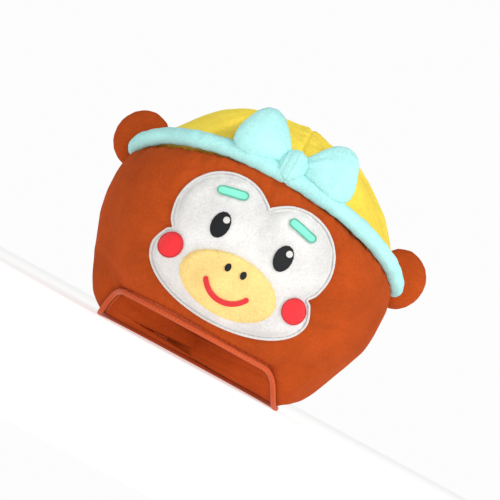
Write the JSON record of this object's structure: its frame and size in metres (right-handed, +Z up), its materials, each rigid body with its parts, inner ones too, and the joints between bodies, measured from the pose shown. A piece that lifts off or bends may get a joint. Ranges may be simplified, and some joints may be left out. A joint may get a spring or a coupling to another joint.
{
  "type": "padded plush monkey hat",
  "caption": "Padded plush hood shaped like a monkey's head, with round ears, a felt face, a stuffed headband with a bow, and a lined hollow for the head.",
  "frame": {"origin": "middle of the hat's footprint, on the floor that its rim stands on", "axes": "+Z up through the crown, -Y towards the face, +X to the right as one faces the hat"},
  "size_m": [0.379, 0.2766, 0.284],
  "materials": {
    "plush_brown": "matt short-pile plush",
    "plush_yellow": "matt short-pile plush",
    "plush_blue": "matt short-pile plush",
    "plush_cream": "matt short-pile plush",
    "lining_satin": "satin",
    "hem_fabric": "matt",
    "hook_tape": "matt hook-and-loop tape",
    "felt_white": "matt felt",
    "felt_red": "matt felt",
    "felt_black": "satin-stitched",
    "felt_mint": "matt felt"
  },
  "bodies": {
    "root": {"hood_shell": "plush_brown", "crown": "plush_yellow", "lining": "lining_satin", "rim_hem": "hem_fabric", "headband": "plush_blue", "bow_loop_left": "plush_blue", "bow_loop_right": "plush_blue", "bow_knot": "plush_blue", "ear_left": "plush_brown", "ear_right": "plush_brown", "face_patch": "felt_white", "muzzle": "plush_cream", "mouth": "felt_red", "nostril_left": "felt_black", "nostril_right": "felt_black", "eye_left": "felt_black", "eye_right": "felt_black", "glint_left": "felt_white", "glint_right": "felt_white", "cheek_left": "felt_red", "cheek_right": "felt_red", "brow_left": "felt_mint", "brow_right": "felt_mint", "closure_flap": "lining_satin", "hook_patch": "hook_tape"}
  },
  "joints": []
}
